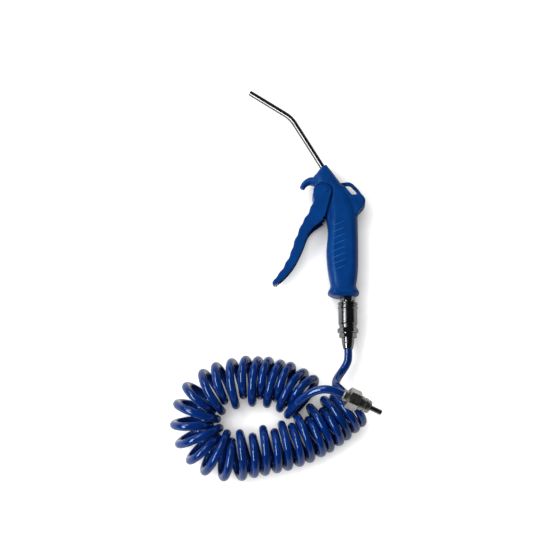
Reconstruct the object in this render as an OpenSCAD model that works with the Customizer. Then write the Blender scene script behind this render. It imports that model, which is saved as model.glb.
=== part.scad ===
// Coiled air hose with a quick coupler, a lever blow gun and a plug fitting on its free end.
// The kit lies on a flat surface at z = 0, the gun on its side with its nozzle towards +Y.

/* [Hose] */
// Outside diameter of the hose
hose_d = 8.5; // [7.5:0.1:8.6]
// Outside diameter of one turn of the coil
coil_d = 49; // [47:0.5:49]

/* [Gun] */
// Height of the gun's and the coupler's axis over the surface
axis_z = 15; // [15:0.5:18]
// Thickness of the grip across its two flat sides
grip_t = 28.6; // [27:0.2:29]
// Width of the lever across its two cheeks
lever_w = 26; // [25:0.5:26.5]
// Wall of the lever's channel
lever_wall = 2.6; // [2:0.1:2.8]
// Outside diameter of the nozzle tube
nozzle_d = 6; // [5.5:0.1:6.2]
// Bore of the nozzle tube
nozzle_bore = 4; // [3:0.5:4]

/* [Valve] */
// Diameter of the valve stem
stem_d = 4; // [3.5:0.1:4]
// Diameter of the valve chamber
chamber_d = 12; // [11.8:0.1:12.4]
// Radial running clearance of the moving pieces
run_gap = 0.06; // [0.03:0.01:0.1]

/* [Coupler] */
// Diameter of the sleeve's front ring
ring_d = 21; // [20.5:0.1:21.5]
// Diameter of the sleeve
sleeve_d = 20; // [19.5:0.1:20.2]
// Width across the flats of the coupler's hexagon
hex_af = 19; // [18:0.5:19]
// How far the sleeve pulls back
sleeve_travel = 3.6; // [3.3:0.1:3.6]

/* [Free end] */
// Width across the flats of the plug fitting's hexagon
plug_hex_af = 19; // [18:0.5:19]
// Diameter of the hollow plug nipple
nipple_d = 5.4; // [5:0.2:6]

/* [Hidden] */
$fn = 64;
plastic = "mediumblue";
metal = "silver";
steel = "dimgray";
brass = "goldenrod";
rubber = "black";

hose_r = hose_d / 2;
turn_r = coil_d / 2 - hose_r;

// Where the gun's inlet axis leaves the grip, and the points of the gun's own plane
gun_at = [42.9, -84.7, axis_z];
pivot = [-22.6, 112];
valve_y = 99.5;
nozzle_at = [-25.2, 140];
nozzle_turn = 31.2;
nozzle_bend = 26.2;
nozzle_bend_r = 32;
nozzle_first = 58.2;
nozzle_last = 45.8;
nozzle_seat = 13;
// The bend is a hair thicker than the straights, which end inside it
bend_lap = 0.6;
bend_more = 0.03;

// Runs of the coil's bent centre line: turns, length, bend, lean of the turns, nesting
coil_start = [6.6, -207.9, 116];
coil_runs = [[4, 40.6, 44.5, 0.09, 5.1], [4, 39.6, 22, 0.08, 3.7], [3, 38.2, 27, 0.08, 4.5],
             [4, 55.2, 85.5, 0.1, 3.6], [4, 51.9, 77, 0.09, 4.3], [3, 36, -0.5, 0.08, 2.8],
             [4, 42.3, 17, 0.07, 2.7], [4, 38.3, 13.5, 0.08, 5.9], [2, 19.2, -1, 0.08, 0.4]];
coil_from = 1.375;
coil_to = 31.375;
rings_per_turn = 8;
rings_per_coil = 12;

// Route of the hose from the coil to the coupler, and from the coil over to the plug fitting
gun_route = [[29.4, -179.2, 24], [31.2, -174, 19], [34.4, -168.8, 15.2], [38, -163.4, 13],
             [41.4, -157.6, 13.8]];
plug_route = [[-4, -197.8, 53], [2.2, -194.2, 57.6], [9.6, -191.6, 61.4], [17.6, -191, 64.2]];
fitting_from = [34, -196, 63.2];
fitting_to = [73.6, -213.2, 52];

// Stations along the coupler's axis, counted from the grip's end towards the hose
plug_hex_end = 6.5;
sleeve_from = 8.5;
collar_end = 14.5;
groove_end = 18.5;
land_to = 19.5;
seal_at = 23;
plug_end = 28.5;
sleeve_to = 32;
shoulder_from = sleeve_to + 0.2;
hex_from = shoulder_from + sleeve_travel;
hex_to = 41.2;
end_hex_to = 46;
barb_to = 51;
nut_to = 58;
ball_r = 1.6;
ball_count = 4;

// ---- helpers ----

function unit(v) = v / norm(v);

// A smooth curve through points of any dimension, n steps to each span
function curve_point(a, b, c, d, t) =
    0.5 * (2 * b + (c - a) * t + (2 * a - 5 * b + 4 * c - d) * t * t
           + (3 * b - a - 3 * c + d) * t * t * t);
function curve(p, n) = concat(
    [for (i = [0 : len(p) - 2], k = [0 : n - 1])
        curve_point(p[max(i - 1, 0)], p[i], p[i + 1], p[min(i + 2, len(p) - 1)], k / n)],
    [p[len(p) - 1]]);

// Outline with every corner rounded: points are x, y, corner radius
function corner(a, b, c, r, n = 6) = let (
        u = unit([a.x - b.x, a.y - b.y]), v = unit([c.x - b.x, c.y - b.y]),
        half = acos(max(-1, min(1, u * v))) / 2, back = r / tan(half),
        centre = [b.x, b.y] + unit(u + v) * r / sin(half),
        from = [b.x, b.y] + u * back - centre, to = [b.x, b.y] + v * back - centre,
        sweep = 180 - 2 * half, way = (u.x * v.y - u.y * v.x) > 0 ? -1 : 1)
    [for (k = [0 : n]) let (w = way * sweep * k / n)
        centre + [from.x * cos(w) - from.y * sin(w), from.x * sin(w) + from.y * cos(w)]];
function rounded(p) = let (n = len(p))
    [for (i = [0 : n - 1]) each p[i][2] > 0
        ? corner(p[(i + n - 1) % n], p[i], p[(i + 1) % n], p[i][2])
        : [[p[i].x, p[i].y]]];

// One solid through rings of points; every ring has the same number of points
module skin(rings) {
    n = len(rings);
    m = len(rings[0]);
    points = [for (ring = rings) each ring];
    sides = [for (i = [0 : n - 2], k = [0 : m - 1]) let (
            a = i * m + k, b = i * m + (k + 1) % m, c = a + m, d = b + m)
        each [[a, b, d], [a, d, c]]];
    caps = [for (k = [1 : m - 2]) each
        [[0, k + 1, k], [(n - 1) * m, (n - 1) * m + k, (n - 1) * m + k + 1]]];
    polyhedron(points = points, faces = concat(sides, caps), convexity = 10);
}

// A round tube along a path; out[i] is the direction of ring i's first corner
function along(p, i) = unit(p[min(i + 1, len(p) - 1)] - p[max(i - 1, 0)]);
function ring(c, t, out, r, sides) = let (a = unit(out - (out * t) * t), b = cross(t, a))
    [for (k = [0 : sides - 1]) let (w = -360 * k / sides) c + r * (cos(w) * a + sin(w) * b)];
module sweep(path, out, r, sides) {
    skin([for (i = [0 : len(path) - 1])
        ring(path[i], along(path, i), is_num(out[0]) ? out : out[i], r, sides)]);
}

// A coil spring along +Z with closed, flat-wound ends
module spring(mean_r, wire_r, height, turns) {
    rise = height - 2 * wire_r;
    steps = turns * rings_per_coil;
    spin = [for (i = [0 : steps]) i * 360 / rings_per_coil];
    path = [for (i = [0 : steps]) [mean_r * cos(spin[i]), mean_r * sin(spin[i]),
        wire_r + rise * min(1, max(0, (i / rings_per_coil - 0.8) / (turns - 1.6)))]];
    sweep(path, [for (w = spin) [cos(w), sin(w), 0]], wire_r, 6);
}

// A solid of revolution about Z: the outline is radius, height
module turned(outline) {
    rotate_extrude($fn = 96) polygon(outline);
}

module o_ring(inner_r, wire_r) {
    rotate_extrude($fn = 72) translate([inner_r + wire_r, 0]) circle(r = wire_r, $fn = 24);
}

module hexagon(af, h) {
    cylinder(d = af / cos(30), h = h, $fn = 6);
}
// A hexagon with its corners turned off at both ends
module chamfered_hexagon(af, h) {
    intersection() {
        hexagon(af, h);
        turned([[0, 0], [af / 2, 0], [af / 2 + 1.6, 1], [af / 2 + 1.6, h - 1], [af / 2, h], [0, h]]);
    }
}

// The gun's plane: x across the grip, y from the grip's end up to the nozzle
module at_gun() {
    translate(gun_at) children();
}
// Along the inlet axis: the child's +Z points from the grip towards the hose
module at_inlet() {
    at_gun() rotate([90, 0, 0]) children();
}
// Along the valve's axis: the child's +Z points to the back of the gun
module at_valve() {
    at_gun() translate([0, valve_y, 0]) rotate([0, 90, 0]) children();
}
// Along the nozzle's axis: the child's +Z points out of the head
module along_nozzle() {
    translate(nozzle_at) rotate([0, 0, nozzle_turn]) rotate([-90, 0, 0]) children();
}
module at_nozzle() {
    at_gun() along_nozzle() children();
}
// Along the free-end fitting: the child's +Z points to the plug's nose
fitting_way = unit(fitting_to - fitting_from);
module at_fitting() {
    translate(fitting_from)
        rotate([0, acos(fitting_way.z), atan2(fitting_way.y, fitting_way.x)]) children();
}

// ---- blow gun ----

// Stations of the moulding: height up the gun, left edge, right edge, half thickness
body_stations = [[0, -20.5, 12, 15.6], [2.4, -20.9, 12.2, 15.8], [8.5, -18.1, 9.2, 13.6],
                 [17, -19.3, 10.4, 14.4], [29, -21.1, 11.5, 15.2], [47, -22.1, 11.8, 15.4],
                 [68, -20.3, 11.8, 15.2], [84, -22.6, 11.4, 14.6], [97, -26, 8.8, 14],
                 [109, -29.4, 3, 13.4], [118.5, -33.2, -4.2, 12.8], [126, -35.6, -9.4, 11.6],
                 [133, -31.9, -14.4, 9.2], [142.6, -25.1, -21.4, 5.2]];
body_squareness = 3;

function superellipse(w) = let (e = 2 / body_squareness)
    [sign(cos(w)) * pow(abs(cos(w)), e), sign(sin(w)) * pow(abs(sin(w)), e)];

module moulding(grow = 0) {
    skin([for (s = curve(body_stations, 3))
        [for (k = [0 : 31]) let (q = superellipse(k * 360 / 32))
            [(s[1] + s[2]) / 2 + q.x * ((s[2] - s[1]) / 2 + grow), s[0], q.y * (s[3] + grow)]]]);
}

// Finger hook at the top of the grip, over the lever
hook_line = [[-29.5, 123.5, 5.5], [-34.5, 124.6, 4.4], [-40, 124.6, 3.2], [-44.8, 121.8, 2.6],
             [-47.6, 117.6, 2.2]];
hook_bend_x = -32.5;
module hook() {
    skin([for (s = curve(hook_line, 3)) let (lean = max(0, min(75, (hook_bend_x - s.x) * 5)))
        [for (k = [0 : 11]) let (w = k * 30)
            [s.x - s[2] * cos(w) * sin(lean), s.y + s[2] * cos(w) * cos(lean), s[2] * 1.5 * sin(w)]]]);
}

// Hanging loop behind the head
loop_outline = [[-15, 119.5, 0], [-7, 122, 3], [4.5, 123.6, 9], [13, 114.6, 6], [19.8, 104.6, 3],
                [10, 98, 0], [-4, 104, 0]];
loop_hole = [[-2.6, 119.8, 1.5], [4.2, 119.4, 4], [11.2, 112, 2.5], [10.4, 108.4, 1.5],
             [5.4, 108, 2]];
module loop() {
    translate([0, 0, -2.8]) linear_extrude(5.6) polygon(rounded(loop_outline));
}

boss_r = 11.4;
boss_x = 8.6;
module boss() {
    translate([boss_x, valve_y, 0]) rotate([0, 90, 0]) sphere(r = boss_r, $fn = 96);
}

// Recesses in both sides of the head that the lever's cheeks swing in
cheek_recess = [[-14.8, 117, 5], [-14.2, 79, 3], [-28, 73, 0], [-60, 73, 0], [-60, 120.4, 0],
                [-24, 120.4, 3]];
// Room for the top of the lever's web
web_notch = [[-27.6, 112.6, 1], [-27.6, 119, 2], [-60, 119, 0], [-60, 112.6, 0]];
core_t = lever_w - 2 * lever_wall - 0.8;
module recesses() {
    for (side = [-1, 1]) translate([0, 0, side > 0 ? core_t / 2 : -core_t / 2 - 10])
        linear_extrude(10) polygon(rounded(cheek_recess));
}

insert_r = 7;
insert_len = 20;
passage_r = 3.5;
passage_x = 1.6;
gland_r = 4;
gland_from = -23.4;
gland_to = -14.4;
orifice_r = 3.5;
seat_x = -3.4;
cap_from = 11.9;
// The brass bush in the head, along the nozzle's axis from the head's face
bush_r = 4.2;
bush_from = -16;
bush_to = -7;
bush_seal_z = -10;
// The outlet passage runs from the bush to the valve's orifice
outlet_r = 2.2;
outlet_from = [-17.9, 128.1];
outlet_to = [-9, 101];

module gun_bores() {
    bore_between([0, -1], [0, insert_len], insert_r);
    bore_between([passage_x, insert_len - 0.5], [passage_x, valve_y], passage_r);
    bore_between([seat_x, valve_y], [seat_x + 30, valve_y], chamber_d / 2);
    bore_between([gland_to, valve_y], [seat_x + 1, valve_y], orifice_r);
    bore_between([-40, valve_y], [gland_to, valve_y], gland_r);
    bore_between(outlet_from, outlet_to, outlet_r);
    along_nozzle() {
        translate([0, 0, bush_from]) cylinder(r = bush_r, h = bush_to - bush_from);
        translate([0, 0, bush_from]) cylinder(d = nozzle_d + 0.1, h = 20 - bush_from);
    }
    translate([pivot.x, pivot.y, -20]) cylinder(r = 2, h = 40);
}
// A round bar in the gun's plane from point a to point b
module bore_between(a, b, r) {
    translate([a.x, a.y, 0]) rotate([0, 0, atan2(b.y - a.y, b.x - a.x)]) rotate([0, 90, 0])
        cylinder(r = r, h = norm(b - a));
}

// Everything above the nozzle's face, and outside the two flat sides
module trims() {
    along_nozzle() cylinder(r = 20, h = 30);
    for (side = [0, 1]) mirror([0, 0, side]) {
        translate([-60, flat_from, grip_t / 2]) cube([120, flat_len, 10]);
        translate([-60, -5, axis_z]) cube([120, 200, 10]);
    }
}
// The two flat sides of the grip
flat_from = 6;
flat_len = 80;

module gun_body() {
    color(plastic) at_gun() {
        difference() {
            union() {
                moulding();
                hook();
                loop();
                boss();
            }
            translate([0, 0, -20]) linear_extrude(40) polygon(rounded(loop_hole));
            translate([0, 0, -20]) linear_extrude(40) polygon(rounded(web_notch));
            recesses();
            trims();
            gun_bores();
        }
    }
}

module inlet_insert() {
    color(brass) at_inlet() translate([0, 0, -insert_len]) difference() {
        cylinder(r = insert_r, h = insert_len - 0.4);
        translate([0, 0, -1]) cylinder(r = 4.6, h = insert_len + 2);
        translate([0, 0, 4]) cylinder(r = 5.8, h = insert_len);
        for (z = [5, 11]) translate([0, 0, z]) difference() {
            cylinder(r = insert_r + 1, h = 1.6);
            translate([0, 0, -1]) cylinder(r = insert_r - 0.6, h = 4);
        }
    }
}

// Side outline of the lever: the front edge down to the tip, then back up to the pivot
lever_front = [[-29.6, 117.2], [-33.2, 116.4], [-35.8, 111.8], [-34.9, 100], [-41.2, 84.8],
               [-46.7, 75.8], [-55.2, 55.8], [-60, 41.4], [-68.8, 25.2], [-78.2, 14.2]];
lever_back = [[-75.4, 9.6], [-66, 20.2], [-55.6, 34.2], [-47, 52.2], [-41.4, 67.4], [-35.6, 75.6],
              [-23.4, 83]];
lever_top = [[-16.4, 110], [-17.4, 115], [-22.6, 117.6]];
module lever_side() {
    polygon(concat(curve(lever_front, 4), curve(lever_back, 4), lever_top));
}
// Front outline of the lever: full width at the pivot, narrower at the tip
module lever_width(w, tip_w) {
    rotate([0, 90, 0]) translate([0, 0, -100]) linear_extrude(120)
        polygon([[-w / 2, 125], [w / 2, 125], [w / 2, 74], [tip_w / 2, 53], [tip_w / 2, 0],
                 [-tip_w / 2, 0], [-tip_w / 2, 53], [-w / 2, 74]]);
}
lever_tip_w = 15;
web_t = 3;
// The web stops at this side of the notch in the head
web_top_x = -28.6;

module trigger_lever() {
    inside = lever_w - 2 * lever_wall;
    color(plastic) at_gun() difference() {
        intersection() {
            translate([0, 0, -lever_w / 2]) linear_extrude(lever_w) lever_side();
            lever_width(lever_w, lever_tip_w);
        }
        intersection() {
            translate([0, 0, -inside / 2]) linear_extrude(inside)
                polygon(concat([[web_top_x, 140], [web_top_x, 116.2]],
                               [for (p = curve(lever_front, 4)) if (p.x < web_top_x - web_t)
                                   p + [web_t, -web_t / 3]],
                               [[-40, 0], [20, 66], [20, 140]]));
            lever_width(inside, lever_tip_w - 2 * lever_wall);
        }
        translate([pivot.x, pivot.y, -20]) cylinder(r = 2 + run_gap, h = 40);
    }
}

module lever_pin() {
    color(steel) at_gun() translate([pivot.x, pivot.y, 0]) {
        translate([0, 0, -lever_w / 2 - 0.4]) cylinder(r = 2, h = lever_w + 0.8);
        for (side = [0, 1]) mirror([0, 0, side]) translate([0, 0, lever_w / 2 + 0.1])
            cylinder(r1 = 3, r2 = 2.4, h = 0.8);
    }
}

stem_tip = -31.4;
stem_seal_x = -19.4;
stem_end = seat_x + 6.5;
module stem_gland() {
    color(brass) at_valve() difference() {
        translate([0, 0, gland_from]) cylinder(r = gland_r, h = gland_to - gland_from);
        translate([0, 0, -30]) cylinder(r = stem_d / 2 + run_gap, h = 30);
        translate([0, 0, gland_from + 1.6]) cylinder(r = stem_d / 2 + 1.1 + run_gap, h = 20);
    }
}

module valve_stem() {
    color(metal) at_valve() difference() {
        union() {
            translate([0, 0, stem_tip + 1.2]) cylinder(d = stem_d, h = stem_end - stem_tip - 1.2);
            translate([0, 0, stem_tip]) cylinder(r1 = 1, r2 = stem_d / 2, h = 1.2);
        }
        translate([0, 0, stem_seal_x - 0.95]) difference() {
            cylinder(r = 5, h = 1.9);
            translate([0, 0, -1]) cylinder(r = 1.3, h = 4);
        }
    }
}

module stem_seal() {
    color(rubber) at_valve() translate([0, 0, stem_seal_x]) o_ring(1.3, 0.88);
}

poppet_r = 5.4;
module valve_poppet() {
    color(brass) at_valve() difference() {
        union() {
            translate([0, 0, seat_x + 1.6]) cylinder(r = poppet_r, h = 2);
            translate([0, 0, seat_x + 3.6]) cylinder(r = 3.2, h = 2.6);
        }
        translate([0, 0, -10]) cylinder(d = stem_d, h = 30);
    }
}

module poppet_seal() {
    color(rubber) at_valve() translate([0, 0, seat_x + 0.05]) difference() {
        cylinder(r = poppet_r - 0.2, h = 1.55);
        translate([0, 0, -1]) cylinder(d = stem_d, h = 4);
    }
}

module valve_spring() {
    color(steel) at_valve() translate([0, 0, seat_x + 3.6]) spring(4.3, 0.4, cap_from - seat_x - 3.6, 6);
}

module valve_cap() {
    color(plastic) at_valve() intersection() {
        difference() {
            translate([0, 0, cap_from]) cylinder(d = chamber_d, h = 12);
            translate([0, 0, cap_from + 3]) difference() {
                cylinder(d = chamber_d + 2, h = 1.9);
                translate([0, 0, -1]) cylinder(d = chamber_d - 3.6, h = 4);
            }
            translate([-8, -0.9, boss_x + boss_r - 1.7]) cube([16, 1.8, 4]);
        }
        translate([0, 0, boss_x]) sphere(r = boss_r, $fn = 96);
    }
}

module cap_seal() {
    color(rubber) at_valve() translate([0, 0, cap_from + 3.95]) o_ring(chamber_d / 2 - 1.8, 0.88);
}

module nozzle_bush() {
    color(brass) at_nozzle() difference() {
        translate([0, 0, bush_from]) cylinder(r = bush_r, h = bush_to - bush_from);
        translate([0, 0, bush_from - 1]) cylinder(d = nozzle_bore, h = bush_to - bush_from + 2);
        translate([0, 0, -nozzle_seat]) cylinder(d = nozzle_d, h = nozzle_seat);
        translate([0, 0, bush_seal_z - 0.6]) cylinder(d = nozzle_d + 1.5, h = 1.2);
    }
}

module nozzle_seal() {
    color(rubber) at_nozzle() translate([0, 0, bush_seal_z]) o_ring(nozzle_d / 2, 0.36);
}

// The tube's axis: straight out of the head, one bend to the left, straight to the tip
module tube_run(d, grow) {
    translate([0, 0, -nozzle_seat - grow])
        cylinder(d = d, h = nozzle_seat + nozzle_first + bend_lap + grow);
    translate([-nozzle_bend_r, 0, nozzle_first]) rotate([-90, 0, 0]) mirror([0, 0, 1])
        mirror([0, 1, 0]) rotate_extrude(angle = nozzle_bend, $fn = 192)
        translate([nozzle_bend_r, 0]) circle(d = d + bend_more, $fn = 48);
    translate([-nozzle_bend_r, 0, nozzle_first]) rotate([0, -nozzle_bend, 0])
        translate([nozzle_bend_r, 0, -bend_lap]) cylinder(d = d, h = nozzle_last + bend_lap + grow);
}
module nozzle_tube() {
    color(metal) at_nozzle() difference() {
        tube_run(nozzle_d, 0);
        tube_run(nozzle_bore, 1);
    }
}

plug_bore = 3.4;
module gun_plug() {
    color(metal) at_inlet() difference() {
        union() {
            translate([0, 0, -13]) cylinder(r = 5.8, h = 14);
            translate([0, 0, 1.5]) hexagon(14, plug_hex_end - 1.5);
            translate([0, 0, 0.6]) cylinder(r = 7, h = 1);
            turned([[0, 5], [5.4, 5], [5.4, 8], [6, 8.6], [6, collar_end], [4.1, collar_end + 1],
                    [4.1, groove_end - 1], [5, groove_end], [5, plug_end - 1], [4.4, plug_end],
                    [0, plug_end]]);
        }
        translate([0, 0, -20]) cylinder(r = plug_bore, h = 80);
    }
}

module gun_plug_seal() {
    color(rubber) at_inlet() translate([0, 0, -0.4]) difference() {
        cylinder(r = 6.9, h = 1);
        translate([0, 0, -1]) cylinder(r = 5.8, h = 4);
    }
}

// ---- quick coupler ----

body_r = 7.2;
shoulder_r = 9.05;
thread_r = 5.4;
spigot_len = 4;
// Where the ring that stops the sleeve sits
ring_at = collar_end - 1.15;
module coupler_body() {
    color(metal) at_inlet() difference() {
        union() {
            translate([0, 0, sleeve_from + 0.6]) cylinder(r = body_r, h = hex_to - sleeve_from - 0.6);
            translate([0, 0, shoulder_from]) cylinder(r = shoulder_r, h = hex_to - shoulder_from);
            translate([0, 0, hex_from]) chamfered_hexagon(hex_af, hex_to - hex_from);
        }
        translate([0, 0, 0]) cylinder(r = 6 + run_gap, h = collar_end + 1.4);
        translate([0, 0, collar_end]) cylinder(r = 5 + run_gap, h = plug_end - collar_end + 1);
        translate([0, 0, seal_at - 1]) cylinder(r = 6.7, h = 2);
        translate([0, 0, plug_end + 0.3]) cylinder(r = thread_r, h = 30);
        for (k = [0 : ball_count - 1]) rotate([0, 0, 45 + k * 360 / ball_count])
            translate([0, 0, (collar_end + groove_end) / 2]) rotate([0, 90, 0])
                cylinder(r = ball_r + 0.05, h = 12);
        translate([0, 0, ring_at - 0.05]) difference() {
            cylinder(r = body_r + 1, h = 1.1);
            translate([0, 0, -1]) cylinder(r = body_r - 0.35, h = 4);
        }
    }
}

module coupler_sleeve() {
    color(metal) at_inlet() difference() {
        turned([[0, sleeve_from], [ring_d / 2 - 0.8, sleeve_from], [ring_d / 2, sleeve_from + 0.8],
                [ring_d / 2, sleeve_from + 2.2], [ring_d / 2 - 0.9, sleeve_from + 2.8],
                [ring_d / 2 - 0.9, sleeve_from + 3.8], [ring_d / 2, sleeve_from + 4.4],
                [ring_d / 2, sleeve_from + 6.4], [sleeve_d / 2, sleeve_from + 7.2],
                [sleeve_d / 2, sleeve_to - 0.8], [sleeve_d / 2 - 0.5, sleeve_to], [0, sleeve_to]]);
        translate([0, 0, 0]) cylinder(r = body_r + run_gap + 0.29, h = 60);
        translate([0, 0, 0]) cylinder(r = 8.9, h = collar_end);
        translate([0, 0, land_to]) cylinder(r = shoulder_r + run_gap, h = 60);
    }
}

module sleeve_spring() {
    color(steel) at_inlet() translate([0, 0, land_to]) spring(8.2, 0.5, shoulder_from - land_to, 5);
}

module locking_balls() {
    color(steel) at_inlet() for (k = [0 : ball_count - 1]) rotate([0, 0, 45 + k * 360 / ball_count])
        translate([5.9, 0, (collar_end + groove_end) / 2]) sphere(r = ball_r, $fn = 32);
}

module retaining_ring() {
    color(steel) at_inlet() translate([0, 0, ring_at]) difference() {
        cylinder(r = 8.4, h = 1);
        translate([0, 0, -1]) cylinder(r = body_r - 0.35, h = 4);
        translate([0, -1, -1]) cube([12, 2, 4]);
    }
}

module coupler_seal() {
    color(rubber) at_inlet() translate([0, 0, seal_at]) o_ring(5 + run_gap, 0.8);
}

module coupler_valve() {
    color(brass) at_inlet() difference() {
        turned([[0, plug_end + 0.3], [4.2, plug_end + 0.3], [4.2, plug_end + 3],
                [5.3, plug_end + 4], [5.3, plug_end + 7], [2.4, plug_end + 7],
                [2.4, plug_end + 9], [0, plug_end + 9]]);
        translate([0, 0, plug_end - 1]) cylinder(r = 2.6, h = 5);
        for (w = [0, 60, 120]) rotate([0, 0, w]) translate([-8, -1, plug_end + 1.4]) cube([16, 2, 1.8]);
    }
}

module coupler_valve_spring() {
    color(steel) at_inlet() translate([0, 0, plug_end + 7]) spring(3.6, 0.4, hex_to - plug_end - 7, 4);
}

module coupler_end() {
    color(metal) at_inlet() difference() {
        union() {
            translate([0, 0, hex_to]) cylinder(r = 8.2, h = 1);
            translate([0, 0, hex_to + 1]) hexagon(16, end_hex_to - hex_to - 1);
            translate([0, 0, end_hex_to - 0.1]) cylinder(r = 4.8, h = 3);
            translate([0, 0, end_hex_to]) cylinder(r = 3.2, h = barb_to - end_hex_to);
        }
        translate([0, 0, hex_to - 1]) cylinder(r = 1.8, h = 40);
    }
    color(metal) at_inlet() translate([0, 0, hex_to - spigot_len]) difference() {
        cylinder(r = thread_r, h = spigot_len);
        translate([0, 0, -1]) cylinder(r = thread_r - 0.8, h = spigot_len + 1);
    }
}

module coupler_nut() {
    color(metal) at_inlet() difference() {
        union() {
            translate([0, 0, end_hex_to]) cylinder(r = 6.6, h = 5);
            turned([[0, end_hex_to + 1], [6, end_hex_to + 1], [6.2, end_hex_to + 6.5],
                    [5.2, nut_to - 0.6], [4.8, nut_to], [0, nut_to]]);
        }
        translate([0, 0, 0]) cylinder(r = hose_r + 0.1, h = 80);
        translate([0, 0, 0]) cylinder(r = 4.8, h = end_hex_to + 3);
    }
}

// ---- hose ----

// The point s along an arc that bends by b over its length, from p = x, y, heading
function arc(p, s, b) = let (chord = b == 0 ? s : 2 * s / (b * PI / 180) * sin(b / 2))
    [p.x + chord * cos(p[2] + b / 2), p.y + chord * sin(p[2] + b / 2), p[2] + b];
function run_start(i) = i == 0 ? coil_start
    : arc(run_start(i - 1), coil_runs[i - 1][1], coil_runs[i - 1][2]);
function turns_before(i) = i == 0 ? 0 : turns_before(i - 1) + coil_runs[i - 1][0];
starts = [for (i = [0 : len(coil_runs) - 1]) run_start(i)];
counts = [for (i = [0 : len(coil_runs)]) turns_before(i)];
function run_of(u) = max([for (i = [0 : len(coil_runs) - 1]) if (u >= counts[i]) i]);
function centre(u) = let (i = run_of(u), f = (u - counts[i]) / coil_runs[i][0])
    arc(starts[i], f * coil_runs[i][1], f * coil_runs[i][2]);
// Values that change evenly from the middle of one run to the middle of the next
lean_table = [for (i = [0 : len(coil_runs) - 1]) [(counts[i] + counts[i + 1]) / 2, coil_runs[i][3]]];
nest_table = [for (i = [0 : len(coil_runs) - 1]) [(counts[i] + counts[i + 1]) / 2, coil_runs[i][4]]];

// The hose's centre after u turns, and the direction from the turn's centre to it
function coil_point(u) = let (
        c = centre(u), w = 360 * u,
        out = turn_r * cos(w) + lookup(u, nest_table) * sin(180 * u),
        slip = lookup(u, lean_table) * turn_r * sin(w))
    [c.x + out * sin(c[2]) + slip * cos(c[2]), c.y - out * cos(c[2]) + slip * sin(c[2]),
     turn_r + hose_r + turn_r * sin(w)];
function coil_out(u) = let (c = centre(u), w = 360 * u)
    [cos(w) * sin(c[2]), -cos(w) * cos(c[2]), sin(w)];

step_u = 1 / rings_per_turn;
coil_us = [for (u = [coil_from : step_u : coil_to + 0.001]) u];
from_way = unit(coil_point(coil_from) - coil_point(coil_from + 0.02));
to_way = unit(coil_point(coil_to) - coil_point(coil_to - 0.02));
coil_head = coil_point(coil_from) + hose_d * from_way;
coil_tail = coil_point(coil_to) + hose_d * to_way;

module hose_coil() {
    path = concat([coil_head], [for (u = coil_us) coil_point(u)], [coil_tail]);
    out = concat([coil_out(coil_from)], [for (u = coil_us) coil_out(u)], [coil_out(coil_to)]);
    color(plastic) sweep(path, out, hose_r, 6);
    // The least gap between turns, on points 24 to a turn
    fine = [for (u = [coil_from : 1 / 24 : coil_to]) coil_point(u)];
    gap = min([for (i = [0 : len(fine) - 15], j = [i + 14 : len(fine) - 1])
        norm(fine[i] - fine[j])]) - hose_d;
    echo(least_gap_mm = gap);
    echo(coil_hose_length_mm = sum_length(fine));
}
function sum_length(p) = [for (i = [0 : len(p) - 2]) norm(p[i + 1] - p[i])] * [for (i = [0 : len(p) - 2]) 1];

inlet_point = [gun_at.x, gun_at.y, gun_at.z];
module hose_tail_gun() {
    path = concat([coil_tail, coil_tail + 5 * to_way], gun_route,
        [inlet_point - [0, nut_to + hose_d, 0], inlet_point - [0, barb_to, 0]]);
    color(plastic) sweep(path, [1, 0, 0.2], hose_r, 10);
    echo(gun_tail_length_mm = sum_length(path));
}

module hose_tail_plug() {
    path = concat([coil_head, coil_head + 5 * from_way], plug_route,
        [fitting_from - hose_d * fitting_way, fitting_from]);
    color(plastic) sweep(path, [0, 1, 0], hose_r, 10);
    echo(plug_tail_length_mm = sum_length(path));
}

// ---- plug fitting on the free end ----

nut_len = 6;
hex_len = 12;
body_len = 13;
washer_t = 1.2;
nipple_len = norm(fitting_to - fitting_from) - nut_len - hex_len - body_len;
module tail_nut() {
    color(metal) at_fitting() difference() {
        turned([[0, 0], [5, 0], [6.2, 1.2], [6.2, nut_len], [0, nut_len]]);
        translate([0, 0, nut_len - 4]) cylinder(r = 4.8, h = 10);
    }
}

module tail_adapter() {
    color(metal) at_fitting() difference() {
        union() {
            translate([0, 0, nut_len - 4]) cylinder(r = 4.8, h = 5);
            translate([0, 0, nut_len]) rotate([0, 0, 30]) chamfered_hexagon(plug_hex_af, hex_len);
        }
        translate([0, 0, nut_len + 5]) cylinder(r = 5, h = 20);
        translate([0, 0, 0]) cylinder(r = 1.8, h = 20);
    }
}

module tail_washer() {
    color(rubber) at_fitting() translate([0, 0, nut_len + hex_len]) difference() {
        cylinder(r = 7.8, h = washer_t);
        translate([0, 0, -1]) cylinder(r = 5, h = 4);
    }
}

module tail_body() {
    s = nut_len + hex_len + washer_t;
    color(metal) at_fitting() difference() {
        union() {
            translate([0, 0, nut_len + 5]) cylinder(r = 5, h = 10);
            turned([[0, s], [7.6, s], [7.6, s + 3], [6.6, s + 3.6], [6.6, s + 4.6], [7.4, s + 5.2],
                    [7.4, s + 7.6], [6.2, s + 8.2], [6.2, s + 9.2], [6.9, s + 9.6],
                    [6.4, s + body_len - washer_t], [0, s + body_len - washer_t]]);
        }
        translate([0, 0, 0]) cylinder(r = 1.8, h = 60);
        translate([0, 0, s + body_len - washer_t - 5]) cylinder(r = nipple_d / 2 - 0.4, h = 10);
    }
}

module plug_nipple() {
    s = nut_len + hex_len + body_len;
    color(steel) at_fitting() difference() {
        turned([[0, s - 5], [nipple_d / 2 - 0.4, s - 5], [nipple_d / 2 - 0.4, s],
                [nipple_d / 2, s], [nipple_d / 2, s + nipple_len - 0.8],
                [nipple_d / 2 - 0.5, s + nipple_len], [0, s + nipple_len]]);
        translate([0, 0, 0]) cylinder(r = 1.6, h = 80);
    }
}

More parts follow.
